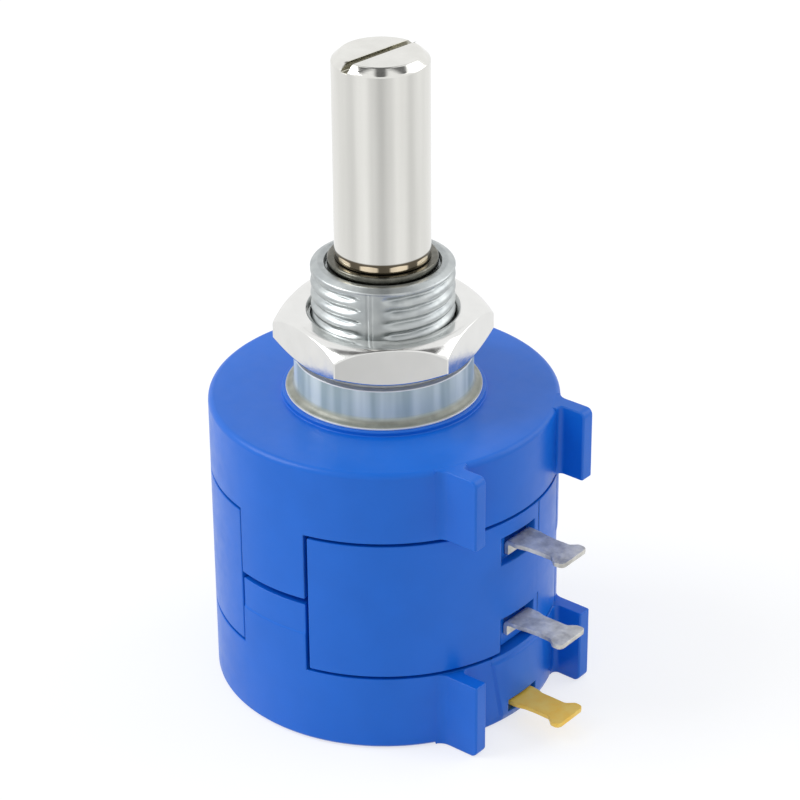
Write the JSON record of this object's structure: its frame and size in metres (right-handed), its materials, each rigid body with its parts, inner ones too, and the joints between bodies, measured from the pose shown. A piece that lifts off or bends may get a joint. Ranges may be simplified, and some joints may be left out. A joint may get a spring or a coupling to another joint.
{
  "type": "multi-turn potentiometer",
  "caption": "Cylindrical panel-mount rotary potentiometer with a plain slotted shaft, threaded bushing with nut, helical winding, sliding wiper and radial solder lugs.",
  "frame": {"origin": "centre of the flat rear face of the rear cover, on the shaft axis", "axes": "+Z along the shaft axis towards the shaft's tip, +X towards the solder lugs"},
  "size_m": [0.0263, 0.0222, 0.0424],
  "materials": {
    "blue_plastic": "satin",
    "bushing_metal": "satin",
    "nut_metal": "satin",
    "washer_metal": "satin",
    "shaft_metal": "polished",
    "ring_metal": "polished",
    "bearing_plastic": "satin",
    "hub_plastic": "satin",
    "contact_brass": "satin",
    "carriage_plastic": "satin",
    "winding": "satin",
    "tinned_metal": "satin",
    "gold_plate": "satin"
  },
  "bodies": {
    "housing": {"front_cover": "blue_plastic", "winding_housing": "blue_plastic", "rear_cover": "blue_plastic", "bushing": "bushing_metal", "thrust_washer": "bearing_plastic", "resistance_element": "winding", "front_end_clip": "contact_brass", "rear_end_clip": "contact_brass", "front_end_terminal": "tinned_metal", "rear_end_terminal": "tinned_metal", "wiper_terminal": "gold_plate", "slip_ring_spring": "contact_brass"},
    "rotor": {"shaft": "shaft_metal", "retaining_ring": "ring_metal", "rotor_hub": "hub_plastic", "collector_strip": "contact_brass", "slip_ring": "contact_brass"},
    "carriage": {"wiper_carriage": "carriage_plastic", "wiper_contact": "contact_brass", "collector_brush": "contact_brass"},
    "washer": {"lock_washer": "washer_metal"},
    "nut": {"mounting_nut": "nut_metal"}
  },
  "joints": [
    {"name": "shaft_turn", "type": "hinge", "parent": "housing", "child": "rotor", "pos_m": [0, 0, 0], "axis": [0, 0, 1], "range_deg": [-1800, 1800]},
    {"name": "carriage_travel", "type": "slide", "parent": "rotor", "child": "carriage", "axis": [0, 0, 1], "range_m": [-0.005, 0.005]},
    {"name": "nut_travel", "type": "slide", "parent": "housing", "child": "washer", "axis": [0, 0, 1], "range_m": [0, 0.00315]},
    {"name": "nut_turn", "type": "hinge", "parent": "washer", "child": "nut", "pos_m": [0, 0, 0.0243], "axis": [0, 0, 1], "range_deg": [0, 1512]}
  ],
  "couplings": [
    {"joint": "carriage_travel", "follows": "shaft_turn", "m_per_rad": 0.00015915},
    {"joint": "nut_turn", "follows": "nut_travel", "rad_per_m": 8377.6}
  ]
}
